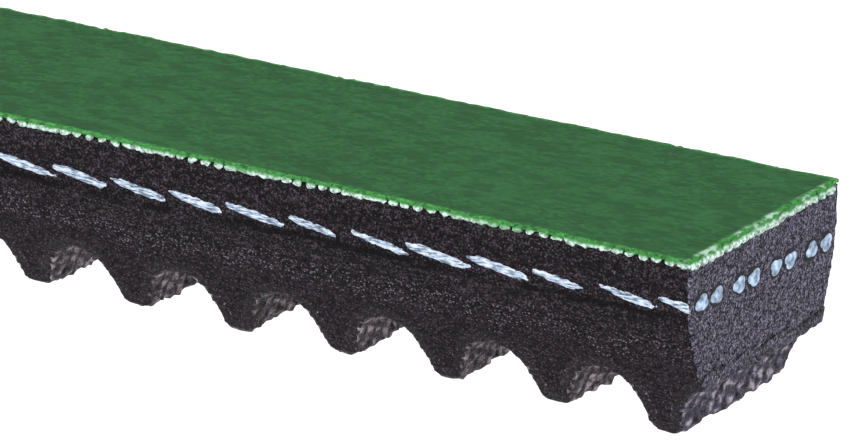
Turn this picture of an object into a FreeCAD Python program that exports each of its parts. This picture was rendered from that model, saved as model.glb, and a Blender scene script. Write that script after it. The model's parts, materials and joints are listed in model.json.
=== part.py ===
"""A cut length of raw-edge cogged V-belt, lying on its cogs with its back up.

Frame: millimetres. X runs along the belt, Y across it, Z up. The origin is under the middle of
the belt, on the plane that the cog tips stand on.

The belt is a stack of layers. Each layer is modelled whole, over the full length, and is then
cut at the middle of every valley into one length per cog. Neighbouring lengths turn about a
line across the belt at the height of the cords, which is the line that keeps its length when
the belt bends. Cog 1 is at the +X end.
"""
import FreeCAD
import Part

import math
import os

# Cross-section
TOP_WIDTH = 17.0            # across the back
THICKNESS = 11.3            # back to cog tips
UPPER_LEAN = 3.4            # degrees, sides beside the cords and above them
FLANK_LEAN = 19.0           # degrees, working flanks below the cords

# Layers, from the back down; the undercord takes the thickness that is left
COVER = 0.7                 # rubbered woven fabric on the back
OVERCORD = 1.5              # tension rubber
CUSHION = 1.8               # adhesion rubber that holds the cords
COG_FABRIC = 0.5            # knitted fabric over the cogs

# Tensile cords, laid in pairs
CORD_PAIRS = 4
CORD_WIDTH = 1.45           # pressed a little flat
CORD_HEIGHT = 1.2
CORD_GAP = 0.22             # between the two cords of a pair
EDGE_BITE = 0.3             # what each side face leaves of the cord that it cuts through

# Cogs
COG_COUNT = 9
COG_PITCH = 7.42
COG_HEIGHT = 3.15           # valley top to cog tip
COG_LAND = 0.6              # flat at the tip
TIP_RADIUS = 0.8
COG_FLANK_ANGLE = 64.0      # degrees from the belt's length
END_CUT = 3.0               # middle of the last cog to the cut face

# Bending at each valley
WRAP_ANGLE = 10.0           # degrees, towards the cogs
BACK_BEND_ANGLE = 6.0       # degrees, away from the cogs
BEND_MARGIN = 0.3           # degrees left on each face at the limits
HINGE_GAP = 0.1             # between two lengths at the cord line

# Worked out from the sizes above
LENGTH = (COG_COUNT - 1) * COG_PITCH + 2 * END_CUT
CUSHION_TOP = THICKNESS - COVER - OVERCORD
CUSHION_BOTTOM = CUSHION_TOP - CUSHION
CORD_LINE = CUSHION_TOP - CUSHION / 2
UPPER_SLOPE = math.tan(math.radians(UPPER_LEAN))
FLANK_SLOPE = math.tan(math.radians(FLANK_LEAN))
SIDE_AT_CORDS = TOP_WIDTH / 2 - (THICKNESS - CORD_LINE) * UPPER_SLOPE
SIDE_AT_CUSHION_BOTTOM = TOP_WIDTH / 2 - (THICKNESS - CUSHION_BOTTOM) * UPPER_SLOPE
SIDE_AT_TIPS = SIDE_AT_CUSHION_BOTTOM - CUSHION_BOTTOM * FLANK_SLOPE
FLANK = math.radians(COG_FLANK_ANGLE)
# A valley arc, a straight flank and a tip arc, tangent to each other, fill half a pitch less half a land.
VALLEY_RADIUS = (
    (COG_PITCH / 2 - COG_LAND / 2 - COG_HEIGHT / math.tan(FLANK))
    / (math.sin(FLANK) - (1 - math.cos(FLANK)) / math.tan(FLANK))
    - TIP_RADIUS
)
OVERSIZE = 1.0              # how far cutting blocks run past the belt


def at(x, y, z):
    return FreeCAD.Vector(x, y, z)


def cog_middle(number):
    """X of the middle of a cog; cog 1 is the first from the +X end."""
    return LENGTH / 2 - END_CUT - (number - 1) * COG_PITCH


def across(edges):
    """The solid that a closed outline in the XZ plane sweeps over the whole width."""
    face = Part.Face(Part.Wire(edges))
    face.translate(at(0, -TOP_WIDTH, 0))
    return face.extrude(at(0, 2 * TOP_WIDTH, 0))


def outline(points):
    """Straight edges round a list of (x, z) points."""
    corners = [at(x, 0, z) for x, z in points]
    return [
        Part.LineSegment(a, b).toShape()
        for a, b in zip(corners, corners[1:] + corners[:1])
    ]


def envelope():
    """Everything between the two side faces and the two cut ends."""
    half = [
        (TOP_WIDTH / 2, THICKNESS),
        (SIDE_AT_CUSHION_BOTTOM, CUSHION_BOTTOM),
        (SIDE_AT_TIPS, 0),
    ]
    points = half + [(-y, z) for y, z in reversed(half)]
    corners = [at(-LENGTH / 2, y, z) for y, z in points]
    face = Part.Face(Part.makePolygon(corners + corners[:1]))
    return face.extrude(at(LENGTH, 0, 0))


def slab(bottom, top):
    """A flat layer over the whole length."""
    half = LENGTH / 2
    return across(outline([(-half, bottom), (half, bottom), (half, top), (-half, top)]))


def half_cog(middle, side, depth):
    """Half of a cog's outline, from valley to tip, depth below the belt's surface.

    side is -1 for the half towards -X and 1 for the half towards +X.
    """
    valley = (middle + side * COG_PITCH / 2, COG_HEIGHT - VALLEY_RADIUS)
    tip = (middle + side * COG_LAND / 2, TIP_RADIUS)

    def on_valley(angle):
        reach = VALLEY_RADIUS + depth
        return at(valley[0] - side * reach * math.sin(angle), 0, valley[1] + reach * math.cos(angle))

    def on_tip(angle):
        reach = TIP_RADIUS - depth
        return at(tip[0] + side * reach * math.sin(angle), 0, tip[1] - reach * math.cos(angle))

    return [
        Part.Arc(on_valley(0), on_valley(FLANK / 2), on_valley(FLANK)).toShape(),
        Part.LineSegment(on_valley(FLANK), on_tip(FLANK)).toShape(),
        Part.Arc(on_tip(FLANK), on_tip(FLANK / 2), on_tip(0)).toShape(),
    ]


def cog_line(depth):
    """The cogs' outline along the whole belt and one cog past each end, and its two end points."""
    edges = []
    for number in range(0, COG_COUNT + 2):
        middle = cog_middle(number)
        land = [at(middle + side * COG_LAND / 2, 0, depth) for side in (-1, 1)]
        edges += half_cog(middle, -1, depth)
        edges.append(Part.LineSegment(*land).toShape())
        edges += half_cog(middle, 1, depth)
    reach = (COG_COUNT + 2) * COG_PITCH / 2
    return edges, at(-reach, 0, COG_HEIGHT + depth), at(reach, 0, COG_HEIGHT + depth)


def across_unsorted(edges):
    """As across(), for edges that are not yet in order."""
    return across(Part.sortEdges(edges)[0])


def cover(inside):
    return slab(THICKNESS - COVER, THICKNESS).common(inside)


def overcord(inside):
    return slab(CUSHION_TOP, THICKNESS - COVER).common(inside)


def cord_places():
    """Y of every cord: the pairs, evenly spread, and the cord that each side face cuts."""
    pair_width = 2 * CORD_WIDTH + CORD_GAP
    room = 2 * (SIDE_AT_CORDS - EDGE_BITE - CORD_GAP)
    pair_pitch = (room - pair_width) / (CORD_PAIRS - 1)
    places = []
    for pair in range(CORD_PAIRS):
        middle = (pair - (CORD_PAIRS - 1) / 2) * pair_pitch
        offset = (CORD_WIDTH + CORD_GAP) / 2
        places += [middle - offset, middle + offset]
    edge = SIDE_AT_CORDS + CORD_WIDTH / 2 - EDGE_BITE
    return [-edge] + places + [edge]


def cords(inside):
    """Each cord over the whole length, as a plain oval bar."""
    bars = []
    for y in cord_places():
        oval = Part.Ellipse(
            at(-LENGTH / 2, y + CORD_WIDTH / 2, CORD_LINE),
            at(-LENGTH / 2, y, CORD_LINE + CORD_HEIGHT / 2),
            at(-LENGTH / 2, y, CORD_LINE),
        )
        face = Part.Face(Part.Wire([oval.toShape()]))
        bars += face.extrude(at(LENGTH, 0, 0)).common(inside).Solids
    return bars


def cushion(inside, bars):
    return slab(CUSHION_BOTTOM, CUSHION_TOP).common(inside).cut(bars)


def undercord(inside):
    """Compression rubber, from the cushion down to the inner face of the cog fabric."""
    edges, left, right = cog_line(COG_FABRIC)
    upper_left = at(left.x, 0, CUSHION_BOTTOM)
    upper_right = at(right.x, 0, CUSHION_BOTTOM)
    edges += [
        Part.LineSegment(right, upper_right).toShape(),
        Part.LineSegment(upper_right, upper_left).toShape(),
        Part.LineSegment(upper_left, left).toShape(),
    ]
    return across_unsorted(edges).common(inside)


def cog_fabric(inside):
    """The sheet that follows the cogs and valleys, one fabric thick."""
    inner, inner_left, inner_right = cog_line(COG_FABRIC)
    outer, outer_left, outer_right = cog_line(0)
    ends = [
        Part.LineSegment(inner_left, outer_left).toShape(),
        Part.LineSegment(inner_right, outer_right).toShape(),
    ]
    return across_unsorted(inner + outer + ends).common(inside)


def bend_face(number, side):
    """(x, z) points, top to bottom, of a length's face towards its neighbour on that side.

    A length with no neighbour there runs past the cut end.
    """
    if not 1 <= number - side <= COG_COUNT:
        x = side * (LENGTH / 2 + OVERSIZE)
        return [(x, THICKNESS + OVERSIZE), (x, -OVERSIZE)]
    hinge = cog_middle(number) + side * COG_PITCH / 2
    start = hinge - side * HINGE_GAP / 2
    up = THICKNESS + OVERSIZE - CORD_LINE
    down = CORD_LINE + OVERSIZE
    lean_up = math.tan(math.radians(BACK_BEND_ANGLE / 2 + BEND_MARGIN))
    lean_down = math.tan(math.radians(WRAP_ANGLE / 2 + BEND_MARGIN))
    return [
        (start - side * up * lean_up, THICKNESS + OVERSIZE),
        (start, CORD_LINE),
        (start - side * down * lean_down, -OVERSIZE),
    ]


def cog_length(number):
    """The block of space that one cog's length of belt may fill."""
    return across(outline(bend_face(number, 1) + bend_face(number, -1)[::-1]))


def export(name, solids):
    shape = solids[0] if len(solids) == 1 else Part.makeCompound(solids)
    shape.exportStep(os.path.join("parts", name + ".step"))


def main():
    os.makedirs("parts", exist_ok=True)
    inside = envelope()
    bars = cords(inside)
    layers = {
        "cover": [cover(inside)],
        "overcord": [overcord(inside)],
        "cords": bars,
        "cushion": [cushion(inside, bars)],
        "undercord": [undercord(inside)],
        "cog_fabric": [cog_fabric(inside)],
    }
    for number in range(1, COG_COUNT + 1):
        block = cog_length(number)
        for name, whole in layers.items():
            solids = [solid for layer in whole for solid in layer.common(block).Solids]
            export(f"{name}_{number}", solids)


main()
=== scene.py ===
"""A cut length of raw-edge cogged V-belt: green fabric back, ground rubber sides with sliced cords,
square-sawn ends and a coarse knit over the cogs.

Pieces are modelled in millimetres, whole, over the full length of the belt. Each is then brought to metres
and cut at the middle of every cog into spans. Every point keeps its place at rest in an attribute,
rest_place, which the finishes read, so that their patterns stay on the surface when the belt bends.
"""
import json
import math
import random

import bpy
import numpy as np
from mathutils import Matrix, Vector, noise


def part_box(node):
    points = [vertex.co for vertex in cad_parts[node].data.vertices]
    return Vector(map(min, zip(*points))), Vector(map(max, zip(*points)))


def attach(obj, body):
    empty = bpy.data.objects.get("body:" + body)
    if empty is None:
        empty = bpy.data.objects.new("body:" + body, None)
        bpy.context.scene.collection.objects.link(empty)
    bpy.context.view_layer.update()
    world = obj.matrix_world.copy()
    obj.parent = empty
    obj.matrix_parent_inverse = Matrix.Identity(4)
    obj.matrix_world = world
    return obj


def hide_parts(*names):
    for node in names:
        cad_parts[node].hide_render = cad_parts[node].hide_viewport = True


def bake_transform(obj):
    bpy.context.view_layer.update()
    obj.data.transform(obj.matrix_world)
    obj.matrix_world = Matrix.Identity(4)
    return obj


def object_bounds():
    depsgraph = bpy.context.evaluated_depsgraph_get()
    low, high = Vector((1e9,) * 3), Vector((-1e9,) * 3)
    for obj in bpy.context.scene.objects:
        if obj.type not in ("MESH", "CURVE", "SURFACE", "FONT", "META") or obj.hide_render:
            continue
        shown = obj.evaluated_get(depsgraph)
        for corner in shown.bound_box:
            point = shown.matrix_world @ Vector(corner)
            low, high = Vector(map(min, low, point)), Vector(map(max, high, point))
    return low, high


bl_info = {
    "name": "Cogged V-Belt Length",
    "version": (1, 0, 0),
    "blender": (4, 5, 0),
    "location": "3D View > Sidebar > Belt",
    "description": "Builds a cut length of cogged V-belt around its frame",
    "category": "Add Mesh",
}

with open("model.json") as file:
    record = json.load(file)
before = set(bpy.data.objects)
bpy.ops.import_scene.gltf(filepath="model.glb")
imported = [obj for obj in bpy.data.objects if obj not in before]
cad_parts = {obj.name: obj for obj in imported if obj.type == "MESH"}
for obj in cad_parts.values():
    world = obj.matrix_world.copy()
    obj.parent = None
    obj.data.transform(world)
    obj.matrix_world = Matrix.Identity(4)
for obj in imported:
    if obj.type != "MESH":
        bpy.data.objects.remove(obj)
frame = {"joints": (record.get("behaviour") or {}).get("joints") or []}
CAD_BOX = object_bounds()

# Millimetres, from the frame
MM = 1000.0
CAD_LOW, CAD_HIGH = (Vector(corner) * MM for corner in CAD_BOX)
LENGTH = CAD_HIGH.x - CAD_LOW.x
WIDTH = CAD_HIGH.y - CAD_LOW.y
TOP = CAD_HIGH.z
VALLEYS = sorted((joint["pos_m"][0] * MM for joint in frame["joints"]), reverse=True)
CORD_LINE = frame["joints"][0]["pos_m"][2] * MM
PITCH = VALLEYS[0] - VALLEYS[1]
COGS = len(VALLEYS) + 1
COG_MIDDLES = [VALLEYS[0] + PITCH / 2 - n * PITCH for n in range(COGS)]
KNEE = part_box("cushion_1")[0][2] * MM
UPPER_SLOPE = math.tan(math.radians(3.4))
FLANK_SLOPE = math.tan(math.radians(19.0))
FINE = 1e-4
FAR = 1e3  # an end for a band that has none
REST = "rest_place"

ROW_TILT = 0.33  # rise of the cord row from the middle to the -Y side
CORD_PAIRS = 4
THIRD_OF_TURN = 2.094
WHOLE_TURN = 6.28
PROUD = 0.03  # how far the knit stands out of the ground sides and the sawn ends
SAWN_FACE = 0.98  # a face whose normal has more X than this, at an end, is sawn
GROUND_FACE = 0.9  # a face whose normal has more Y than this is ground


def half_width(z):
    """Half the belt's width at a height."""
    knee = WIDTH / 2 - (TOP - KNEE) * UPPER_SLOPE
    return WIDTH / 2 - (TOP - z) * UPPER_SLOPE if z > KNEE else knee - (KNEE - z) * FLANK_SLOPE


# ---------------------------------------------------------------- sizes and colours


def length(name, text, default):
    """A length in millimetres, shown as a plain number."""
    return bpy.props.FloatProperty(name=name, description=text + ", in mm", default=default)


def share(name, text, default):
    """A ratio."""
    return bpy.props.FloatProperty(name=name, description=text, default=default, min=0.0)


def colour(name, text, default):
    """A colour, in linear values."""
    return bpy.props.FloatVectorProperty(
        name=name, description=text, default=default, subtype="COLOR", size=3, min=0.0, max=1.0
    )


class BeltSizes(bpy.types.PropertyGroup):
    cog_height: length("Cog height", "Valley top to cog tip", 3.15)
    cog_land: length("Cog land", "Flat at the cog's tip", 0.6)
    tip_radius: length("Tip radius", "Rounding of the cog's tip", 0.8)
    flank_angle: bpy.props.FloatProperty(
        name="Flank angle", description="Cog flank from the belt's length",
        default=math.radians(64.0), subtype="ANGLE",
    )
    knit_thickness: length("Knit thickness", "Fabric over the cogs", 0.5)
    knit_depth: share("Knit depth", "Modelled depth of the knit, against its thickness", 1.8)
    knit_cell: length("Knit cell", "Mesh size of the knit's sheet, across the belt", 0.19)
    knit_rib: length("Knit rib", "Spacing of the ribs across the belt", 1.15)
    knit_loop: length("Knit loop", "Spacing of the loops along a rib", 0.85)
    knit_hang: length("Knit hang", "How far the loose knit hangs at a cog's tip", 0.4)
    end_droop: share("End droop", "Further hang on the two sawn cogs, against the knit hang", 0.7)
    knit_selvedge: length("Knit selvedge", "Flat edge of the knit at the ground sides", 0.9)
    knit_relief: length("Knit relief", "Height of the ribs", 0.4)
    knit_level: share("Knit level", "Height on a rib, from 0 to 1, that stays on the nominal surface", 0.35)
    coat_lift: length("Coat lift", "Top of the fuzzy coat above the nominal back", 0.12)
    coat_thickness: length("Coat thickness", "Green coat over the yarns", 0.16)
    coat_rim: length("Coat rim", "Width of the torn rim", 0.28)
    weave_pitch: length("Weave pitch", "Spacing of the threads that show through the coat", 0.62)
    yarn_pitch: length("Yarn pitch", "Spacing of the yarn ends at the sides", 0.9)
    end_yarn_pitch: length("End yarn pitch", "Spacing of the yarn ends at the cut", 1.1)
    yarn_height: length("Yarn height", "Thickness of a yarn end", 0.46)
    grain: length("Rubber grain", "Size of the grit on the ground rubber", 0.32)
    grain_height: length("Grain height", "Depth of the grit", 0.1)
    rubber_cell: length("Rubber cell", "Mesh size of the rubber and the knit", 0.17)
    rubber_roof: length("Rubber roof", "Top of the rubber below the nominal back", 0.1)
    rubber_inset: share("Rubber inset", "Cogs' rubber under the knit's face, against its thickness", 0.7)
    strand_cell: length("Strand cell", "Mesh size of the side cords", 0.08)
    strand_step: length("Strand step", "Spacing of a strand's rings along the belt", 0.2)
    strand_radius: length("Strand radius", "One of the three strands of a cord", 0.35)
    strand_lay: length("Strand lay", "Length of one turn of a strand", 12.7)
    strand_sink: length("Strand sink", "Cord's middle below the ground side", 0.51)
    strand_helix: length("Strand helix", "Strand to the cord's middle", 0.33)
    cord_width: length("Cord width", "A cord's end, across", 1.4)
    cord_height: length("Cord height", "A cord's end, upright", 1.2)
    cord_sink: length("Cord sink", "Middle of a cord's end below the sawn face", 0.02)
    lobe_depth: length("Lobe depth", "How far a strand's end stands out from its middle", 0.13)
    lobe_reach: share("Lobe reach", "A strand's end from the cord's middle, against the cord's radius", 0.3)
    lobe_size: share("Lobe size", "Radius of a strand's end, against the cord's", 0.66)
    socket_depth: length("Socket depth", "How far the rubber round a cord stands out from its middle", 0.085)
    socket_size: share("Socket size", "Radius of the rubber round a cord, against the cord's", 1.2)


class BeltColours(bpy.types.PropertyGroup):
    coat: colour("Coat", "Green coat on the back", (0.0212, 0.0945, 0.0305))
    lip: colour("Lip", "Torn edge of the coat", (0.045, 0.21, 0.05))
    yarn: colour("Yarn", "Cut yarn ends", (0.44, 0.58, 0.51))
    side: colour("Side", "Ground rubber sides", (0.0102, 0.0074, 0.0102))
    sawn: colour("Sawn end", "Sawn rubber ends", (0.047, 0.044, 0.066))
    speck: colour("Speck", "Fibres and dust in the rubber", (0.21, 0.19, 0.22))
    cord: colour("Cord", "Cord strands", (0.28, 0.365, 0.49))
    cord_fibre: colour("Cord fibre", "Palest fibres of a sliced strand", (0.66, 0.72, 0.78))
    knit: colour("Knit", "Fabric over the cogs", (0.055, 0.045, 0.051))
    torn: colour("Torn knit", "Pulled threads at the sawn ends", (0.42, 0.38, 0.44))
    # Pale crests of the knit: partly wear, partly painted highlight
    knit_crest_wear_and_highlight: colour("Knit crest", "Worn crests of the fabric", (0.42, 0.35, 0.39))


class StageSizes(bpy.types.PropertyGroup):
    azimuth: bpy.props.FloatProperty(
        name="Azimuth", description="Camera round the belt", default=math.radians(33.02), subtype="ANGLE"
    )
    elevation: bpy.props.FloatProperty(
        name="Elevation", description="Camera above the belt", default=math.radians(19.54), subtype="ANGLE"
    )
    distance: length("Distance", "Camera to the point it aims at", 370.0)
    lens: bpy.props.FloatProperty(
        name="Lens", description="Focal length", default=264.6, subtype="DISTANCE_CAMERA"
    )
    aim_x: length("Aim X", "Aimed point along the belt", 9.48)
    aim_z: length("Aim Z", "Aimed point's height", 6.73)
    floor_drop: length("Floor drop", "Cog tips to the floor", 24.0)


def sizes():
    """The belt's sizes, from the scene."""
    return bpy.context.scene.belt_sizes


def colours():
    """The belt's colours, from the scene."""
    return bpy.context.scene.belt_colours


# ---------------------------------------------------------------- working by hand


def clear_selection():
    """Leaves the mesh, if one is open, and selects nothing."""
    if bpy.context.object and bpy.context.object.mode != "OBJECT":
        done()
    bpy.ops.object.select_all(action="DESELECT")


def only(*objects):
    """Selects these objects and nothing else; the first is active."""
    clear_selection()
    for thing in objects:
        thing.select_set(True)
    bpy.context.view_layer.objects.active = objects[0]


def open_mesh():
    """Turns to the active object's mesh, with all of it selected."""
    bpy.ops.object.mode_set(mode="EDIT")
    bpy.ops.mesh.select_all(action="SELECT")


def done():
    """Leaves the mesh."""
    bpy.ops.object.mode_set(mode="OBJECT")


def begin(name):
    """Names the primitive just added, and turns to its mesh with all of it selected."""
    thing = bpy.context.object
    thing.name = thing.data.name = name
    open_mesh()
    return thing


def modifier(thing, kind, **values):
    """Adds a modifier and applies it."""
    only(thing)
    added = thing.modifiers.new(kind.title(), kind)
    for key, value in values.items():
        setattr(added, key, value)
    bpy.ops.object.modifier_apply(modifier=added.name)


def trim(thing, x, side, threshold=FINE):
    """Cuts away what lies beyond x, towards +X or -X as side says, and closes the cut."""
    only(thing)
    open_mesh()
    bpy.ops.mesh.bisect(
        plane_co=(x, 0, 0), plane_no=(side, 0, 0), clear_outer=True, use_fill=True, threshold=threshold
    )
    done()


def outward(thing):
    """Merges doubles and turns the faces outwards."""
    only(thing)
    open_mesh()
    bpy.ops.mesh.remove_doubles(threshold=FINE)
    bpy.ops.mesh.normals_make_consistent(inside=False)
    done()


def join(pieces, name):
    """Makes one object of several."""
    only(*pieces)
    bpy.ops.object.join()
    whole = bpy.context.object
    whole.name = whole.data.name = name
    return whole


def copy_of(thing, name):
    """A copy with its own mesh."""
    twin = thing.copy()
    twin.data = thing.data.copy()
    twin.name = twin.data.name = name
    bpy.context.collection.objects.link(twin)
    return twin


def points_of(thing, what="co"):
    """Every point's place, or its normal, one to a row."""
    flat = np.empty(len(thing.data.vertices) * 3)
    thing.data.vertices.foreach_get(what, flat)
    return flat.reshape(-1, 3)


def put_points(thing, points):
    """Gives every point its new place."""
    thing.data.vertices.foreach_set("co", points.ravel())
    thing.data.update()


def move_out(thing, heights):
    """Moves every point along its normal."""
    put_points(thing, points_of(thing) + points_of(thing, "normal") * heights[:, None])


def rough(points, scale, seed=0.0):
    """Smooth noise from -1 to 1 at every point."""
    shift = Vector((seed * 7.3, seed * 3.1, seed * 5.7))
    return np.array([noise.noise(Vector(p) / scale + shift) for p in points])


def grit(thing, name, size, height):
    """Presses a grain into a surface."""
    texture = bpy.data.textures.new(name, "CLOUDS")
    texture.noise_scale = size
    texture.noise_depth = 2
    modifier(thing, "DISPLACE", texture=texture, strength=height, mid_level=0.5, texture_coords="LOCAL")
    bpy.data.textures.remove(texture)


def smooth(thing, angle=math.radians(50)):
    """Shades smooth, with a crease where faces meet at more than an angle."""
    only(thing)
    bpy.ops.object.shade_smooth_by_angle(angle=angle)


def to_frame(thing):
    """From millimetres to metres, with the scale in the mesh."""
    only(thing)
    thing.scale = (1 / MM,) * 3
    bpy.ops.object.transform_apply(location=True, rotation=True, scale=True)


def mark_rest(thing):
    """Keeps every point's place at rest, in mm, for the finishes."""
    layer = thing.data.attributes.new(REST, "FLOAT_VECTOR", "POINT")
    layer.data.foreach_set("vector", (points_of(thing) * MM).astype(np.float32).ravel())


def mark_cut(thing):
    """Keeps which faces lie in a sawn end, as X, and which in a ground side, as Y."""
    faces = len(thing.data.polygons)
    centres, normals = np.empty(faces * 3), np.empty(faces * 3)
    thing.data.polygons.foreach_get("center", centres)
    thing.data.polygons.foreach_get("normal", normals)
    centres, normals = centres.reshape(-1, 3) * MM, normals.reshape(-1, 3)
    at_end = np.abs(centres[:, 0]) > LENGTH / 2 - 0.05
    sawn = (np.abs(normals[:, 0]) > SAWN_FACE) & at_end
    ground = np.abs(normals[:, 1]) > GROUND_FACE
    values = np.column_stack((sawn, ground & ~sawn, np.zeros(faces))).astype(np.float32)
    layer = thing.data.attributes.new("cut", "FLOAT_VECTOR", "FACE")
    layer.data.foreach_set("vector", values.ravel())


def finish_in(thing, material, cut=False):
    """Gives a piece its material; with cut, its cut faces are marked for the material too."""
    mark_rest(thing)
    if cut:
        mark_cut(thing)
    thing.data.materials.clear()
    thing.data.materials.append(material)


def fix_to(body, thing, material):
    """Finishes a small piece that rides on one length of the belt."""
    to_frame(thing)
    finish_in(thing, material)
    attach(thing, body)


def keep_shading(span, whole):
    """Takes the whole piece's shading, so that no line shows where two spans meet."""
    modifier(
        span, "DATA_TRANSFER", object=whole, use_loop_data=True, data_types_loops={"CUSTOM_NORMAL"},
        loop_mapping="POLYINTERP_NEAREST",
    )


def spans(whole, name, layers, material, cut=False):
    """Cuts a full-length piece at the middle of every cog into spans.

    The layers are the CAD layers that the piece stands for. The last span takes the last cog's too.
    """
    to_frame(whole)
    for number in range(1, COGS):
        span = copy_of(whole, f"{name}_{number}")
        start = COG_MIDDLES[number - 1] / MM
        end = COG_MIDDLES[number] / MM
        if number > 1:
            trim(span, start, 1, FINE / MM)
        if number < COGS - 1:
            trim(span, end, -1, FINE / MM)
        if layers:
            keep_shading(span, whole)
        finish_in(span, material, cut)
        ends = [number] if number < COGS - 1 else [number, number + 1]
        nodes = [f"{layer}_{n}" for layer in layers for n in ends]
        if nodes:
            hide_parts(*nodes)
        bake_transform(span)
    bpy.data.objects.remove(whole)


# ---------------------------------------------------------------- finishes


def shade(tint, times):
    """A colour made lighter or darker."""
    return [min(1.0, value * times) for value in tint]


class Finish:
    """A material being put together. Its patterns read the place that each point had at rest."""

    def __init__(self, name):
        self.material = bpy.data.materials.new(name)
        self.material.use_nodes = True
        self.tree = self.material.node_tree
        self.tree.nodes.clear()
        self.output = self.add("ShaderNodeOutputMaterial")
        self.shader = self.add("ShaderNodeBsdfPrincipled")
        self.link(self.shader.outputs["BSDF"], self.output.inputs["Surface"])
        self.place = self.add("ShaderNodeAttribute", attribute_name=REST).outputs["Vector"]

    def add(self, kind, **values):
        """A new node with these settings."""
        made = self.tree.nodes.new(kind)
        for key, value in values.items():
            setattr(made, key, value)
        return made

    def link(self, source, target):
        self.tree.links.new(source, target)

    def fill(self, node, **inputs):
        """Links or sets a node's inputs, named with _ for a space."""
        for key, value in inputs.items():
            socket = node.inputs[key.replace("_", " ")]
            if isinstance(value, bpy.types.NodeSocket):
                self.link(value, socket)
            else:
                socket.default_value = value
        return node

    def stretched(self, scale=(1, 1, 1), turn=0.0, offset=(0, 0, 0)):
        """The place at rest, scaled, turned about Z and moved."""
        mapping = self.add("ShaderNodeMapping")
        self.fill(mapping, Vector=self.place, Scale=scale, Rotation=(0, 0, turn), Location=offset)
        return mapping.outputs["Vector"]

    def noise(self, scale, detail=3.0, stretch=(1, 1, 1), turn=0.0, offset=(0, 0, 0)):
        made = self.add("ShaderNodeTexNoise")
        self.fill(made, Vector=self.stretched(stretch, turn, offset), Scale=scale, Detail=detail)
        return made.outputs["Fac"]

    def cells(self, scale, stretch=(1, 1, 1), turn=0.0):
        made = self.add("ShaderNodeTexVoronoi")
        self.fill(made, Vector=self.stretched(stretch, turn), Scale=scale)
        return made

    def scatter(self, scale, rarity, size, stretch=(1, 1, 1)):
        """Round specks: some of the cells of a pattern, the fewer the nearer rarity is to 1."""
        cells = self.cells(scale, stretch)
        chosen = self.ramp(cells.outputs["Color"], (rarity, 0.0), (min(1.0, rarity + 0.3), 1.0))
        dot = self.ramp(cells.outputs["Distance"], (size, 1.0), (size + 0.2, 0.0))
        return self.maths("MULTIPLY", dot, chosen)

    def ramp(self, factor, *stops):
        """A ramp through (place, grey or colour) stops."""
        made = self.add("ShaderNodeValToRGB")
        self.link(factor, made.inputs["Fac"])
        elements = made.color_ramp.elements
        while len(elements) < len(stops):
            elements.new(0.5)
        for element, (place, value) in zip(elements, stops):
            element.position = place
            element.color = (value,) * 3 + (1,) if isinstance(value, (int, float)) else (*value, 1)
        return made.outputs["Color"]

    def blend(self, factor, first, second):
        """The first colour at 0, the second at 1."""
        made = self.add("ShaderNodeMix", data_type="RGBA", blend_type="MIX")
        shade_rings = [made.inputs[0], made.inputs[6], made.inputs[7]]
        for socket, value in zip(shade_rings, (factor, first, second)):
            if isinstance(value, bpy.types.NodeSocket):
                self.link(value, socket)
            elif isinstance(value, (int, float)):
                socket.default_value = value
            else:
                socket.default_value = (*value, 1)
        return made.outputs[2]

    def maths(self, how, first, second=0.0, third=None):
        made = self.add("ShaderNodeMath", operation=how)
        for index, value in enumerate((first, second, third)):
            if isinstance(value, bpy.types.NodeSocket):
                self.link(value, made.inputs[index])
            elif value is not None:
                made.inputs[index].default_value = value
        return made.outputs[0]

    def axis(self, name):
        """X, Y or Z of the place at rest."""
        split = self.add("ShaderNodeSeparateXYZ")
        self.link(self.stretched(), split.inputs[0])
        return split.outputs[name]

    def band(self, value, low, high, soft):
        """1 between low and high, fading out over soft."""
        edges = []
        for start, end, first, last in ((low - soft, low, 0.0, 1.0), (high, high + soft, 1.0, 0.0)):
            edge = self.add("ShaderNodeMapRange", interpolation_type="SMOOTHSTEP")
            self.fill(edge, Value=value, From_Min=start, From_Max=end, To_Min=first, To_Max=last)
            edges.append(edge.outputs[0])
        return self.maths("MULTIPLY", *edges)

    def bump(self, height, distance, strength=1.0):
        """Shades as if the height stood out by a distance in mm."""
        made = self.add("ShaderNodeBump")
        self.fill(made, Height=height, Distance=distance / MM, Strength=strength)
        self.link(made.outputs[0], self.shader.inputs["Normal"])

    def close(self, base, roughness, specular):
        """The finished material."""
        self.fill(self.shader, Base_Color=base, Roughness=roughness, Specular_IOR_Level=specular)
        return self.material


def mottled(f, mottle, tint, times, top=0.62):
    """A tint at four heights of a mottle, from its hollows up."""
    return f.ramp(mottle, *zip((0.40, 0.48, 0.54, top), (shade(tint, value) for value in times)))


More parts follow.
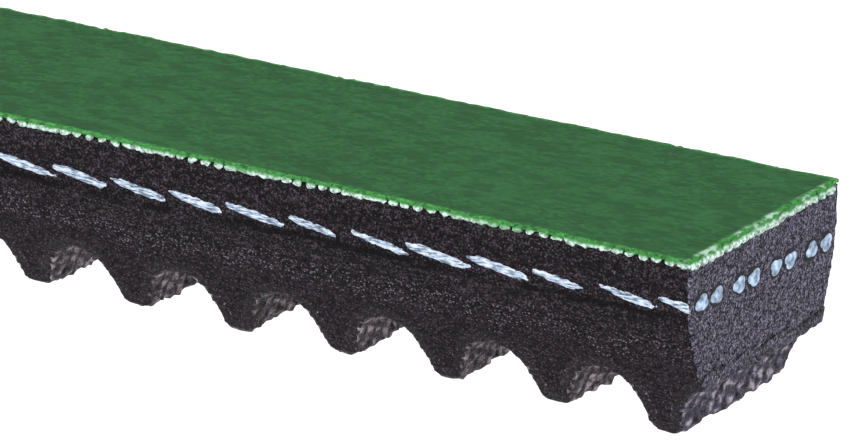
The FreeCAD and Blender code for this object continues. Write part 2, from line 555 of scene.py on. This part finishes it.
def ground_and_sawn(f):
    """Tones of the ground sides and of the sawn ends, and the mottle that they share.

    A side is dark and gritty above, calmer near the cogs, with a band of pale fibres between, and painted
    shade along the cords where an unmodelled groove would lie in shadow.
    """
    c = colours()
    coarse = f.noise(2.6, 4.0, stretch=(0.8, 1, 1))
    grain = f.noise(7.2, 5.0)
    mottle = f.maths("MULTIPLY_ADD", coarse, 0.3, f.maths("MULTIPLY", grain, 0.7))
    streaks = f.noise(1.5, 4.0, stretch=(0.16, 1, 2.6))
    wander = f.maths("MULTIPLY_ADD", f.noise(0.25, 4.0), 3.2, f.axis("Z"))
    side = mottled(f, mottle, c.side, (0.08, 0.8, 1.8, 8.0))
    side = f.blend(f.ramp(streaks, (0.42, 0.0), (0.6, 0.75)), side, shade(c.side, 0.3))
    calm = mottled(f, mottle, c.side, (0.3, 0.85, 1.6, 3.6))
    near_cogs = f.band(wander, -5.0, 6.4, 0.9)
    side = f.blend(near_cogs, side, calm)
    fine = f.scatter(7.0, 0.3, 0.22, stretch=(0.75, 1, 1))
    bright = f.scatter(4.4, 0.62, 0.2)
    clumps = f.ramp(f.noise(1.3, 3.0), (0.38, 0.1), (0.6, 1.0))
    fibre_band = f.maths("MULTIPLY", f.band(wander, 6.4, 7.4, 0.6), clumps)
    fibres = f.maths("MULTIPLY", fine, f.maths("MULTIPLY_ADD", fibre_band, 0.9, 0.3))
    side = f.blend(fibres, side, c.speck)
    dust = f.maths("MULTIPLY", bright, f.maths("MULTIPLY_ADD", near_cogs, -0.35, 0.42))
    side = f.blend(dust, side, c.speck)
    # Painted shade: a dark line along the cords stands in for the shadow of a groove that is not modelled
    painted_groove_shade_line = f.maths("MULTIPLY_ADD", f.noise(0.5, 2.0, offset=(3, 0, 0)), 0.8, f.axis("Z"))
    painted_groove_shade = f.band(painted_groove_shade_line, CORD_LINE - 0.2, CORD_LINE, 0.2)
    painted_groove_shade = f.maths("MULTIPLY", painted_groove_shade, f.ramp(f.noise(0.3, 3.0), (0.4, 0.1), (0.52, 0.85)))
    side = f.blend(painted_groove_shade, side, shade(c.side, 0.12))
    sawn = mottled(f, mottle, c.sawn, (0.08, 0.8, 1.7, 5.5), top=0.63)
    sawn = f.blend(f.maths("MULTIPLY", fine, 0.7), sawn, shade(c.speck, 1.5))
    sawn = f.blend(f.maths("MULTIPLY", bright, 0.6), sawn, shade(c.speck, 1.8))
    sawn = f.blend(f.maths("MULTIPLY", f.scatter(3.6, 0.5, 0.3), 0.8), sawn, shade(c.sawn, 0.1))
    return side, sawn, mottle


def rubber_finish():
    """Rubber, ground at the sides and sawn at the ends."""
    f = Finish("ground_rubber")
    side, sawn, mottle = ground_and_sawn(f)
    at_end = f.band(f.maths("ABSOLUTE", f.axis("X")), LENGTH / 2 - 0.12, FAR, 0.1)
    f.bump(mottle, 0.5, 0.9)
    return f.close(f.blend(at_end, side, sawn), 0.8, 0.13)


def coat_finish():
    """Matt green coat with the weave showing through, and a bright torn lip."""
    c = colours()
    f = Finish("green_coat")
    cloud = f.noise(0.32, 3.0, stretch=(0.6, 1, 1))
    threads = f.noise(3.4, 5.0, stretch=(0.8, 1.15, 1), turn=math.radians(-6))
    tone = f.ramp(threads, (0.36, shade(c.coat, 0.7)), (0.5, c.coat), (0.64, shade(c.coat, 1.35)))
    tone = f.blend(f.ramp(cloud, (0.35, 0.0), (0.65, 0.6)), tone, shade(c.coat, 1.22))
    worn = f.noise(1.1, 5.0, stretch=(0.6, 1.3, 1), offset=(4, 2, 0))
    tone = f.blend(f.ramp(worn, (0.44, 0.0), (0.6, 0.8)), tone, shade(c.coat, 0.72))
    dashes = f.scatter(1.9, 0.60, 0.16, stretch=(0.62, 1.9, 1))
    patches = f.ramp(f.noise(0.3, 2.0, offset=(9, 4, 0)), (0.42, 0.25), (0.6, 1.0))
    pressed = f.maths("MULTIPLY", f.maths("MULTIPLY", dashes, patches), 0.85)
    tone = f.blend(pressed, tone, shade(c.coat, 0.4))
    fray = f.maths("MULTIPLY", f.noise(1.6, 3.0), 0.34)
    from_middle_y = f.maths("ADD", f.maths("ABSOLUTE", f.axis("Y")), fray)
    from_middle_x = f.maths("ADD", f.maths("ABSOLUTE", f.axis("X")), fray)
    edge_y = f.band(from_middle_y, WIDTH / 2 + 0.06, FAR, 0.3)
    edge_x = f.band(from_middle_x, LENGTH / 2 - 0.02, FAR, 0.35)
    edge = f.maths("MAXIMUM", edge_y, edge_x)
    torn = f.ramp(f.noise(4.0, 3.0), (0.36, shade(c.lip, 0.45)), (0.52, c.lip), (0.66, shade(c.lip, 1.5)))
    white = f.ramp(f.noise(0.9, 4.0, offset=(0, 3, 0)), (0.5, 0.0), (0.62, 0.75))
    torn = f.blend(f.maths("MULTIPLY", edge_x, white), torn, shade(c.yarn, 1.1))
    base = f.blend(edge, tone, torn)
    weave = f.add("ShaderNodeTexWave", wave_type="BANDS", bands_direction="X")
    f.fill(weave, Vector=f.stretched((1, 1, 1), math.radians(52)), Scale=0.36, Distortion=1.6)
    f.bump(f.maths("MULTIPLY_ADD", weave.outputs["Fac"], 0.35, threads), 0.08, 0.7)
    return f.close(base, 0.68, 0.08)


def yarn_finish():
    """Cut white yarn, stained green by the coat above and in patches."""
    c = colours()
    s = sizes()
    f = Finish("cut_yarn")
    strands = f.noise(4.5, 4.0)
    base = f.ramp(strands, (0.36, shade(c.yarn, 0.4)), (0.5, c.yarn), (0.62, shade(c.yarn, 1.5)))
    height = f.maths("MULTIPLY_ADD", f.noise(1.4, 3.0), 0.3, f.axis("Z"))
    under_coat = TOP + s.coat_lift - s.coat_thickness
    base = f.blend(f.band(height, under_coat + 0.2, FAR, 0.2), base, c.lip)
    patches = f.noise(0.42, 3.0, offset=(0, 5, 0))
    base = f.blend(f.ramp(patches, (0.54, 0.0), (0.64, 0.6)), base, shade(c.lip, 1.2))
    f.bump(strands, 0.12, 0.8)
    return f.close(base, 0.8, 0.15)


def cord_finish():
    """Sliced strands: pale fibres along the belt, with dark specks of rubber."""
    c = colours()
    f = Finish("cord_strands")
    fibres = f.noise(5.5, 5.0, stretch=(0.3, 1.6, 1.6))
    base = f.ramp(fibres, (0.38, shade(c.cord, 0.3)), (0.49, shade(c.cord, 1.2)), (0.62, c.cord_fibre))
    specks = f.maths("MULTIPLY", f.scatter(6.0, 0.72, 0.3), 0.7)
    base = f.blend(specks, base, shade(c.cord, 0.15))
    f.bump(fibres, 0.12, 0.8)
    return f.close(base, 0.6, 0.35)


def cord_end_finish():
    """Sawn strands: blue-grey, with paler patches."""
    c = colours()
    f = Finish("cord_ends")
    soft = f.noise(2.2, 3.0)
    base = f.ramp(soft, (0.36, shade(c.cord, 0.45)), (0.5, shade(c.cord, 1.0)), (0.66, shade(c.cord, 1.75)))
    f.bump(f.noise(6.0, 3.0), 0.1, 0.6)
    return f.close(base, 0.7, 0.15)


def knit_finish():
    """Rubber-soaked knit: painted shade in the hollows, and pale crests that are partly wear and partly
    painted highlight, with pulled threads near the sawn ends. Where it is cut itself, it has the rubber's
    tones."""
    c = colours()
    f = Finish("cog_knit")
    crest = f.add("ShaderNodeAttribute", attribute_name="crest").outputs["Fac"]
    patches = f.noise(0.9, 4.0)
    fibres = f.noise(6.5, 5.0)
    near_end = f.band(f.maths("ABSOLUTE", f.axis("X")), COG_MIDDLES[0] + 0.6, FAR, 0.5)
    # Painted shade and highlight: the knit's height (crest) darkens the hollows and lightens the crests,
    # along with the fibres
    level = f.maths("MULTIPLY_ADD", fibres, 0.75, f.maths("MULTIPLY", crest, 0.6))
    base = f.ramp(
        level, (0.36, shade(c.knit, 0.1)), (0.52, c.knit), (0.66, shade(c.knit, 2.6)), (0.82, c.knit_crest_wear_and_highlight)
    )
    base = f.blend(f.ramp(patches, (0.48, 0.0), (0.64, 0.6)), base, shade(c.knit, 0.3))
    dust = f.maths("MULTIPLY", f.scatter(6.0, 0.7, 0.28), 0.6)
    base = f.blend(dust, base, shade(c.knit_crest_wear_and_highlight, 1.3))
    # The pulled threads follow the knit's height too: painted shade in the hollows, paler on the crests
    torn = f.ramp(
        level, (0.34, shade(c.sawn, 0.12)), (0.54, shade(c.sawn, 1.0)), (0.72, shade(c.sawn, 2.6)),
        (0.88, c.torn),
    )
    base = f.blend(f.maths("MULTIPLY", near_end, 0.85), base, torn)
    side, sawn, _ = ground_and_sawn(f)
    cut = f.add("ShaderNodeSeparateXYZ")
    f.link(f.add("ShaderNodeAttribute", attribute_name="cut").outputs["Vector"], cut.inputs[0])
    base = f.blend(cut.outputs["Y"], base, side)
    base = f.blend(cut.outputs["X"], base, sawn)
    f.bump(fibres, 0.4, 0.9)
    return f.close(base, 0.7, 0.18)


def shade_ring_finish():
    """Painted shade: dark rubber around a sawn cord, standing in for the shade round its end."""
    c = colours()
    f = Finish("cord_ring_painted_shade")
    grain = f.noise(6.0, 3.0)
    base = f.ramp(grain, (0.35, shade(c.sawn, 0.12)), (0.7, shade(c.sawn, 0.5)))
    f.bump(grain, 0.08, 0.6)
    return f.close(base, 0.8, 0.25)


# ---------------------------------------------------------------- shapes


def cog_line(name, depth):
    """The cogs' outline in the XZ plane, at a depth under their face, over the whole belt and a cog
    more at each end. Half a pitch is a valley's arc, a straight flank, the tip's arc and half a land;
    the valley's radius is what makes these meet."""
    s = sizes()
    flank = s.flank_angle
    run = PITCH / 2 - s.cog_land / 2
    radius = (run - s.cog_height / math.tan(flank)) / (
        math.sin(flank) - (1 - math.cos(flank)) / math.tan(flank)
    ) - s.tip_radius
    flank_steps = 9
    valley = Vector((PITCH / 2, 0, s.cog_height - radius))
    tip = Vector((s.cog_land / 2, 0, s.tip_radius))
    clear_selection()
    bpy.ops.mesh.primitive_plane_add(size=1.0, location=(0, 0, 0))
    line = begin(name)
    bpy.ops.mesh.merge(type="CENTER")
    bpy.ops.transform.translate(value=valley + Vector((0, 0, radius + depth)))
    bpy.ops.mesh.spin(steps=12, angle=flank, center=valley, axis=(0, 1, 0))
    away = Vector((-math.sin(flank), 0, math.cos(flank)))
    start = valley + away * (radius + depth)
    end = tip - away * (s.tip_radius - depth)
    for _ in range(flank_steps):
        bpy.ops.mesh.extrude_region_move(TRANSFORM_OT_translate={"value": (end - start) / flank_steps})
    bpy.ops.mesh.spin(steps=5, angle=-flank, center=tip, axis=(0, 1, 0))
    bpy.ops.mesh.extrude_region_move(TRANSFORM_OT_translate={"value": (-s.cog_land / 2, 0, 0)})
    bpy.ops.mesh.select_all(action="SELECT")
    bpy.ops.mesh.remove_doubles(threshold=FINE)
    done()
    modifier(line, "MIRROR", use_axis=(True, False, False), use_mirror_merge=True, merge_threshold=FINE)
    modifier(
        line, "ARRAY", count=COGS + 2, use_relative_offset=False, use_constant_offset=True,
        constant_offset_displace=(-PITCH, 0, 0), use_merge_vertices=True, merge_threshold=FINE,
    )
    line.location = (COG_MIDDLES[0] + PITCH, 0, 0)
    only(line)
    bpy.ops.object.transform_apply(location=True)
    return line


class BELT_OT_rubber(bpy.types.Operator):
    """Overcord, cushion and undercord: one ground and sawn rubber body"""

    bl_idname = "belt.rubber"
    bl_label = "Rubber"

    def execute(self, context):
        s = sizes()
        body = cog_line("rubber", s.knit_thickness * s.rubber_inset)
        only(body)
        open_mesh()
        for level in (KNEE, TOP - s.rubber_roof):
            bpy.ops.mesh.extrude_region_move(TRANSFORM_OT_translate={"value": (0, 0, TOP)})
            bpy.ops.transform.resize(value=(1, 1, 0), center_override=(0, 0, level))
        bpy.ops.mesh.select_all(action="SELECT")
        bpy.ops.transform.translate(value=(0, -1, 0))
        bpy.ops.mesh.extrude_region_move(TRANSFORM_OT_translate={"value": (0, 2, 0)})
        done()
        points = points_of(body)
        points[:, 1] *= np.array([half_width(z) for z in points[:, 2]])
        put_points(body, points)
        outward(body)
        for side in (-1, 1):
            trim(body, side * LENGTH / 2, side)
        outward(body)
        modifier(body, "REMESH", mode="VOXEL", voxel_size=s.rubber_cell)
        grit(body, "grain", s.grain, s.grain_height)
        grit(body, "pits", s.grain * 2.6, s.grain_height * 0.9)
        smooth(body, math.radians(70))
        spans(body, "rubber", ("overcord", "cushion", "undercord"), rubber_finish())
        return {"FINISHED"}


class BELT_OT_cog_fabric(bpy.types.Operator):
    """Coarse knit that follows the cogs and valleys"""

    bl_idname = "belt.cog_fabric"
    bl_label = "Cog fabric"

    def execute(self, context):
        s = sizes()
        step = s.knit_cell
        count = int(WIDTH / step) + 1
        half_sheet = count * step / 2
        sheet = cog_line("cog_knit", 0.0)
        only(sheet)
        open_mesh()
        bpy.ops.mesh.extrude_region_move(TRANSFORM_OT_translate={"value": (0, step, 0)})
        done()
        modifier(
            sheet, "ARRAY", count=count, use_relative_offset=False, use_constant_offset=True,
            constant_offset_displace=(0, step, 0), use_merge_vertices=True, merge_threshold=FINE,
        )
        sheet.location.y = -half_sheet
        only(sheet)
        bpy.ops.object.transform_apply(location=True)
        outward(sheet)
        turn_down(sheet)
        points = points_of(sheet)
        crest, hang = knit_crests(points)
        inward = np.clip((WIDTH / 2 - np.abs(points[:, 1])) / s.knit_selvedge, 0, 1)
        relief = s.knit_relief * (crest - s.knit_level) * (0.15 + 0.85 * inward)
        move_out(sheet, relief + s.knit_hang * hang)
        # Thicker than the real knit, so that no hole opens behind it; the extra is inside the rubber
        modifier(sheet, "SOLIDIFY", thickness=s.knit_thickness * s.knit_depth, offset=-1)
        points = points_of(sheet)
        widest = np.array([half_width(z) for z in points[:, 2]]) + PROUD
        points[:, 1] = np.clip(points[:, 1] / half_sheet, -1, 1) * widest
        put_points(sheet, points)
        modifier(sheet, "REMESH", mode="VOXEL", voxel_size=s.rubber_cell)
        for side in (-1, 1):
            trim(sheet, side * (LENGTH / 2 + PROUD), side)
        outward(sheet)
        # The knit's height, kept for its finish, which paints shade in the hollows and highlight on the
        # crests
        crest, _ = knit_crests(points_of(sheet))
        layer = sheet.data.attributes.new("crest", "FLOAT", "POINT")
        layer.data.foreach_set("value", crest.astype(np.float32))
        smooth(sheet, math.radians(60))
        spans(sheet, "cog_knit", ("cog_fabric",), knit_finish(), cut=True)
        return {"FINISHED"}


def turn_down(sheet):
    """Makes sure that an open sheet under the belt faces down."""
    if points_of(sheet, "normal")[:, 2].mean() > 0:
        only(sheet)
        open_mesh()
        bpy.ops.mesh.flip_normals()
        done()


def knit_crests(points):
    """How high each point stands on the ribs of loops, and how far it hangs at a cog's tip."""
    s = sizes()
    along = points[:, 0] * 1.3 + 0.5 * points[:, 2]
    wobble = rough(points, 2.4, 1.0)
    across = points[:, 1] + 0.35 * wobble
    rib = np.abs(np.sin(math.pi * across / s.knit_rib)) ** 0.7
    column = np.floor(across / s.knit_rib)
    loop = 0.5 + 0.5 * np.cos(2 * math.pi * (along / s.knit_loop + 0.5 * column) + 1.4 * wobble)
    uneven = 0.75 + 0.5 * rough(points, 1.3, 2.0)
    crest = rib * (0.35 + 0.65 * loop) * uneven + 0.22 * rough(points, 0.4, 3.0)
    hang = np.exp(-((points[:, 2] / 0.5) ** 2)) * (0.5 + 0.5 * rough(points, 1.8, 4.0))
    from_end = np.abs(points[:, 0]) - COG_MIDDLES[0]
    at_tip = np.exp(-((points[:, 2] / 0.8) ** 2))
    hang += at_tip * np.exp(-((from_end / 1.6) ** 2)) * s.end_droop
    return crest, hang


class BELT_OT_cover(bpy.types.Operator):
    """Green coat over the woven fabric on the back"""

    bl_idname = "belt.cover"
    bl_label = "Cover"

    def execute(self, context):
        s = sizes()
        top = TOP + s.coat_lift
        clear_selection()
        bpy.ops.mesh.primitive_grid_add(x_subdivisions=330, y_subdivisions=86, size=1.0)
        coat = begin("green_coat")
        bpy.ops.transform.resize(value=(LENGTH, WIDTH, 1))
        bpy.ops.transform.translate(value=(0, 0, top))
        done()
        modifier(coat, "SOLIDIFY", thickness=s.coat_thickness, offset=-1)
        modifier(coat, "BEVEL", width=0.07, segments=2, limit_method="ANGLE", angle_limit=math.radians(60))
        points = points_of(coat)
        upper = np.clip((points[:, 2] - top + s.coat_thickness) / s.coat_thickness, 0, 1)
        edge = np.minimum(WIDTH / 2 - np.abs(points[:, 1]), LENGTH / 2 - np.abs(points[:, 0]))
        rim = np.exp(-((edge / s.coat_rim) ** 2))
        leaning = [(points[:, 0] + lean * points[:, 1]) / s.weave_pitch for lean in (1.25, -1.25)]
        weave = 0.5 + 0.5 * np.sin(2 * math.pi * leaning[0]) * np.sin(2 * math.pi * leaning[1])
        swell = 0.03 * rough(points, 2.6, 5.0)
        torn_up = rim * 0.07 * rough(points, 0.7, 6.0)
        lift = 0.016 * weave + swell + torn_up - 0.03
        points[:, 2] += lift * upper
        fray = rim * 0.055 * rough(points, 0.55, 7.0)
        points[:, 1] += np.sign(points[:, 1]) * fray
        points[:, 0] += np.sign(points[:, 0]) * fray
        points[:, 2] += (1 - upper) * rim * (0.12 * rough(points, 0.5, 8.0) - 0.1)
        put_points(coat, points)
        smooth(coat, math.radians(70))
        spans(coat, "green_coat", ("cover",), coat_finish())
        return {"FINISHED"}


def yarn_end():
    """One cut yarn: a lumpy, slightly twisted bead, long axis along X."""
    clear_selection()
    bpy.ops.mesh.primitive_uv_sphere_add(segments=10, ring_count=7, radius=0.5)
    bead = begin("yarn_end")
    bpy.ops.transform.resize(value=(1.0, 0.9, 0.85))
    bpy.ops.mesh.subdivide(number_cuts=1, smoothness=0.6, fractal=0.9, seed=3)
    done()
    return bead


def yarn_row(bead, name, places, draw, tall=1.0):
    """Copies of a bead at (point, length, turn) places, joined; tall stretches them upright."""
    row = []
    for number, (point, long, turn) in enumerate(places):
        twin = copy_of(bead, f"{name}_{number}")
        height = sizes().yarn_height * tall * draw.uniform(0.85, 1.12)
        twin.data.transform(
            Matrix.Translation(point)
            @ Matrix.Rotation(turn, 4, "Z")
            @ Matrix.Rotation(draw.uniform(-0.25, 0.25), 4, "Y")
            @ Matrix.Diagonal((long, height * 0.95, height, 1))
            @ Matrix.Rotation(draw.uniform(0, WHOLE_TURN), 4, "X")
        )
        row.append(twin)
    whole = join(row, name)
    points = points_of(whole)
    move_out(whole, 0.09 * rough(points, 0.3, 21.0) + 0.05 * rough(points, 0.14, 22.0))
    smooth(whole)
    return whole


class BELT_OT_yarn_ends(bpy.types.Operator):
    """White yarn ends that show under the coat, along both sides and across both cuts"""

    bl_idname = "belt.yarn_ends"
    bl_label = "Yarn ends"

    def execute(self, context):
        s = sizes()
        draw = random.Random(11)
        bead = yarn_end()
        level = TOP + s.coat_lift - s.coat_thickness - s.yarn_height * 0.3
        places = []
        for side in (-1, 1):
            x = -LENGTH / 2 + 0.5
            while x < LENGTH / 2 - 0.4:
                # Where the bias yarns meet the side at a shallow angle, their ends run together
                merge = 0.5 + 0.5 * math.sin(2 * math.pi * x / 7.6 + side)
                point = (x, side * (half_width(level) - 0.02), level + draw.uniform(-0.04, 0.04))
                long = 0.62 + 0.5 * merge * merge + draw.uniform(-0.06, 0.06)
                places.append((point, long, 0.0))
                x += s.yarn_pitch * (1 - 0.14 * merge) * draw.uniform(0.93, 1.07)
        sides = yarn_row(bead, "side_yarns", places, draw)
        material = yarn_finish()
        spans(sides, "side_yarns", (), material)
        for end, body in ((1, "cog_1"), (-1, f"cog_{COGS}")):
            places = []
            y = -WIDTH / 2 + 0.5
            while y < WIDTH / 2 - 0.4:
                point = (end * LENGTH / 2, y, level - 0.06 + draw.uniform(-0.05, 0.05))
                long = 0.9 + draw.uniform(-0.12, 0.12)
                places.append((point, long, math.pi / 2))
                y += s.end_yarn_pitch * 0.82 * draw.uniform(0.93, 1.07)
            row = yarn_row(bead, f"end_yarns_{body}", places, draw, tall=1.5)
            fix_to(body, row, material)
        bpy.data.objects.remove(bead)
        return {"FINISHED"}


class BELT_OT_side_cords(bpy.types.Operator):
    """Twisted cord that each side face slices lengthwise"""

    bl_idname = "belt.side_cords"
    bl_label = "Side cords"

    def execute(self, context):
        strands = [self.strand(side, number) for side in (-1, 1) for number in range(3)]
        cords = join(strands, "side_cords")
        # One closed skin, because a cut across strands that pass through each other isn't closed
        modifier(cords, "REMESH", mode="VOXEL", voxel_size=sizes().strand_cell)
        outward(cords)
        smooth(cords, math.radians(35))
        spans(cords, "side_cords", ("cords",), cord_finish())
        return {"FINISHED"}

    def strand(self, side, number):
        """One strand: a circle carried along the belt and round the cord, then ground off at the side."""
        s = sizes()
        clear_selection()
        bpy.ops.mesh.primitive_circle_add(vertices=14, radius=s.strand_radius)
        strand = begin("strand")
        bpy.ops.transform.rotate(value=math.pi / 2, orient_axis="Y", center_override=(0, 0, 0))
        bpy.ops.transform.translate(value=(0, s.strand_helix, 0))
        done()
        turns = LENGTH / s.strand_lay
        phase = 2 * math.pi * number / 3 + (0.9 if side > 0 else 0.2)
        rings = int(LENGTH / s.strand_step)
        modifier(
            strand, "SCREW", axis="X", screw_offset=LENGTH, angle=-2 * math.pi * turns * side,
            steps=rings, render_steps=rings, use_smooth_shade=True,
        )
        axis_y = side * (half_width(CORD_LINE) - s.strand_sink)
        axis_z = CORD_LINE + 0.1 - ROW_TILT * side * 0.5
        strand.data.transform(
            Matrix.Translation((-LENGTH / 2, axis_y, axis_z)) @ Matrix.Rotation(phase, 4, "X")
        )
        only(strand)
        open_mesh()
        bpy.ops.mesh.fill_holes(sides=0)
        done()
        outward(strand)
        points = points_of(strand)
        count = len(points)
        lengthwise = np.column_stack((points[:, 0], np.full(count, side * 40.0), np.zeros(count)))
        # The cord wanders as one, and each strand is uneven
        points[:, 1] += side * 0.11 * rough(lengthwise, 4.6, 12.0)
        points[:, 2] += 0.14 * rough(lengthwise, 7.0, 13.0)
        points[:, 1] += 0.09 * rough(points, 0.33, 14.0)
        points[:, 2] += 0.07 * rough(points, 0.33, 15.0)
        ground = WIDTH / 2 - (TOP - points[:, 2]) * UPPER_SLOPE + 0.06 + 0.05 * rough(points, 0.25, 16.0)
        points[:, 1] = side * np.minimum(side * points[:, 1], ground)
        inside = LENGTH / 2 - 0.05
        points[:, 0] = np.clip(points[:, 0], -inside, inside)
        put_points(strand, points)
        return strand


class BELT_OT_cord_ends(bpy.types.Operator):
    """Sawn ends of the whole cords, in pairs"""

    bl_idname = "belt.cord_ends"
    bl_label = "Cord ends"

    def execute(self, context):
        s = sizes()
        draw = random.Random(5)
        strand_material = cord_end_finish()
        shade_ring_material = shade_ring_finish()
        places = cord_places()
        for end, body in ((1, "cog_1"), (-1, f"cog_{COGS}")):
            lobes = []
            shade_rings = []
            for y in places:
                centre = Vector((end * LENGTH / 2, y, CORD_LINE - ROW_TILT * y / places[-1]))
                turn = draw.uniform(0, 2.1)
                shade_rings.append(self.disc(centre, end))
                for strand in range(3):
                    lobes.append(self.lobe(centre, turn + strand * THIRD_OF_TURN, end, draw))
            ends = join(lobes, f"cord_ends_{body}")
            smooth(ends)
            fix_to(body, ends, strand_material)
            # Painted shade: a dark disc behind each cord's end gives it a dark outline
            rings = join(shade_rings, f"cord_rings_painted_shade_{body}")
            smooth(rings)
            fix_to(body, rings, shade_ring_material)
        return {"FINISHED"}

    def lobe(self, centre, turn, end, draw):
        """The sawn end of one strand."""
        s = sizes()
        clear_selection()
        bpy.ops.mesh.primitive_uv_sphere_add(segments=14, ring_count=9, radius=1.0)
        lobe = begin("lobe")
        bpy.ops.mesh.subdivide(number_cuts=1, smoothness=0.3, fractal=0.12, seed=draw.randint(1, 99))
        done()
        spot = centre + Vector((
            -s.cord_sink * end,
            math.cos(turn) * s.cord_width / 2 * s.lobe_reach,
            math.sin(turn) * s.cord_height / 2 * s.lobe_reach,
        ))
        radius = s.lobe_size * draw.uniform(0.94, 1.06)
        flat = (s.lobe_depth, s.cord_width / 2 * radius * 1.2, s.cord_height / 2 * radius, 1)
        lobe.data.transform(Matrix.Translation(spot) @ Matrix.Diagonal(flat))
        return lobe

    def disc(self, centre, end):
        """The disc that a cord's end sits in, dark with painted shade."""
        s = sizes()
        clear_selection()
        bpy.ops.mesh.primitive_uv_sphere_add(segments=24, ring_count=9, radius=1.0)
        disc = begin("disc")
        bpy.ops.mesh.subdivide(number_cuts=1, smoothness=0.2, fractal=0.1, seed=4)
        done()
        spot = centre - Vector((s.cord_sink * end, 0, 0))
        flat = (s.socket_depth, s.cord_width / 2 * s.socket_size, s.cord_height / 2 * s.socket_size, 1)
        disc.data.transform(Matrix.Translation(spot) @ Matrix.Diagonal(flat))
        return disc


def cord_places():
    """Y of the whole cords: pairs, evenly spread between the slices at the sides."""
    width = 1.45
    gap = 0.22
    side_slice = 0.3
    pair = 2 * width + gap
    room = 2 * (half_width(CORD_LINE) - side_slice - gap)
    pitch = (room - pair) / (CORD_PAIRS - 1)
    middle = (CORD_PAIRS - 1) / 2
    return [
        (number - middle) * pitch + side * (width + gap) / 2
        for number in range(CORD_PAIRS) for side in (-1, 1)
    ]


# ---------------------------------------------------------------- stage


def aim(thing, at):
    """Turns a camera or a light towards a point."""
    thing.rotation_euler = (Vector(at) - thing.location).to_track_quat("-Z", "Y").to_euler()


def soft_light(name, place, at, size, power):
    """A square area light, in metres and watts."""
    clear_selection()
    bpy.ops.object.light_add(type="AREA", location=place)
    light = bpy.context.object
    light.name = name
    light.data.size = size
    light.data.energy = power
    aim(light, at)


class BELT_OT_stage(bpy.types.Operator):
    """Pale floor, soft light and the camera"""

    bl_idname = "belt.stage"
    bl_label = "Stage"

    def execute(self, context):
        s = context.scene.belt_stage
        target = Vector((s.aim_x, 0, s.aim_z)) / MM
        way = Vector((
            math.sin(s.azimuth) * math.cos(s.elevation),
            -math.cos(s.azimuth) * math.cos(s.elevation),
            math.sin(s.elevation),
        ))
        clear_selection()
        bpy.ops.object.camera_add(location=target + way * s.distance / MM)
        camera = bpy.context.object
        camera.name = "camera"
        camera.data.lens = s.lens
        camera.data.sensor_width = 36.0
        camera.data.clip_start = 0.01
        camera.data.clip_end = 20.0
        aim(camera, target)
        context.scene.camera = camera
        clear_selection()
        bpy.ops.mesh.primitive_plane_add(size=6.0, location=(0, 0, -s.floor_drop / MM))
        floor = bpy.context.object
        floor.name = "floor"
        bpy.ops.object.transform_apply(location=True)
        f = Finish("floor_paper")
        tone = f.ramp(f.noise(0.02, 2.0), (0.3, (0.96, 0.96, 0.96)), (0.7, (1.0, 1.0, 1.0)))
        mark_rest(floor)
        floor.data.materials.append(f.close(tone, 0.9, 0.1))
        soft_light("key", (-0.25, -0.35, 0.6), target, 1.6, 6.0)
        soft_light("right", (0.6, -0.05, 0.2), target, 1.1, 3.0)
        soft_light("front", (0.1, -0.7, 0.15), target, 0.5, 0.8)
        world = bpy.data.worlds.new("studio")
        world.use_nodes = True
        world.node_tree.nodes["Background"].inputs[0].default_value = (1, 1, 1, 1)
        world.node_tree.nodes["Background"].inputs[1].default_value = 0.8
        context.scene.world = world
        context.scene.view_settings.view_transform = "Standard"
        return {"FINISHED"}


class BELT_PT_panel(bpy.types.Panel):
    """Lists the belt's pieces"""

    bl_idname = "BELT_PT_panel"
    bl_label = "Cogged belt"
    bl_space_type = "VIEW_3D"
    bl_region_type = "UI"
    bl_category = "Belt"

    def draw(self, context):
        column = self.layout.column()
        for operator in OPERATORS:
            column.operator(operator.bl_idname)
        for group in (context.scene.belt_sizes, context.scene.belt_colours, context.scene.belt_stage):
            for name in group.__annotations__:
                column.prop(group, name)


OPERATORS = (
    BELT_OT_rubber,
    BELT_OT_cog_fabric,
    BELT_OT_cover,
    BELT_OT_yarn_ends,
    BELT_OT_side_cords,
    BELT_OT_cord_ends,
    BELT_OT_stage,
)
CLASSES = (BeltSizes, BeltColours, StageSizes) + OPERATORS + (BELT_PT_panel,)


def register():
    for kind in CLASSES:
        bpy.utils.register_class(kind)
    bpy.types.Scene.belt_sizes = bpy.props.PointerProperty(type=BeltSizes)
    bpy.types.Scene.belt_colours = bpy.props.PointerProperty(type=BeltColours)
    bpy.types.Scene.belt_stage = bpy.props.PointerProperty(type=StageSizes)


def unregister():
    del bpy.types.Scene.belt_stage
    del bpy.types.Scene.belt_colours
    del bpy.types.Scene.belt_sizes
    for kind in reversed(CLASSES):
        bpy.utils.unregister_class(kind)


def main():
    """Builds every piece and sets the stage."""
    register()
    bpy.ops.belt.rubber()
    bpy.ops.belt.cog_fabric()
    bpy.ops.belt.cover()
    bpy.ops.belt.yarn_ends()
    bpy.ops.belt.side_cords()
    bpy.ops.belt.cord_ends()
    bpy.ops.belt.stage()


if __name__ == "__main__":
    main()
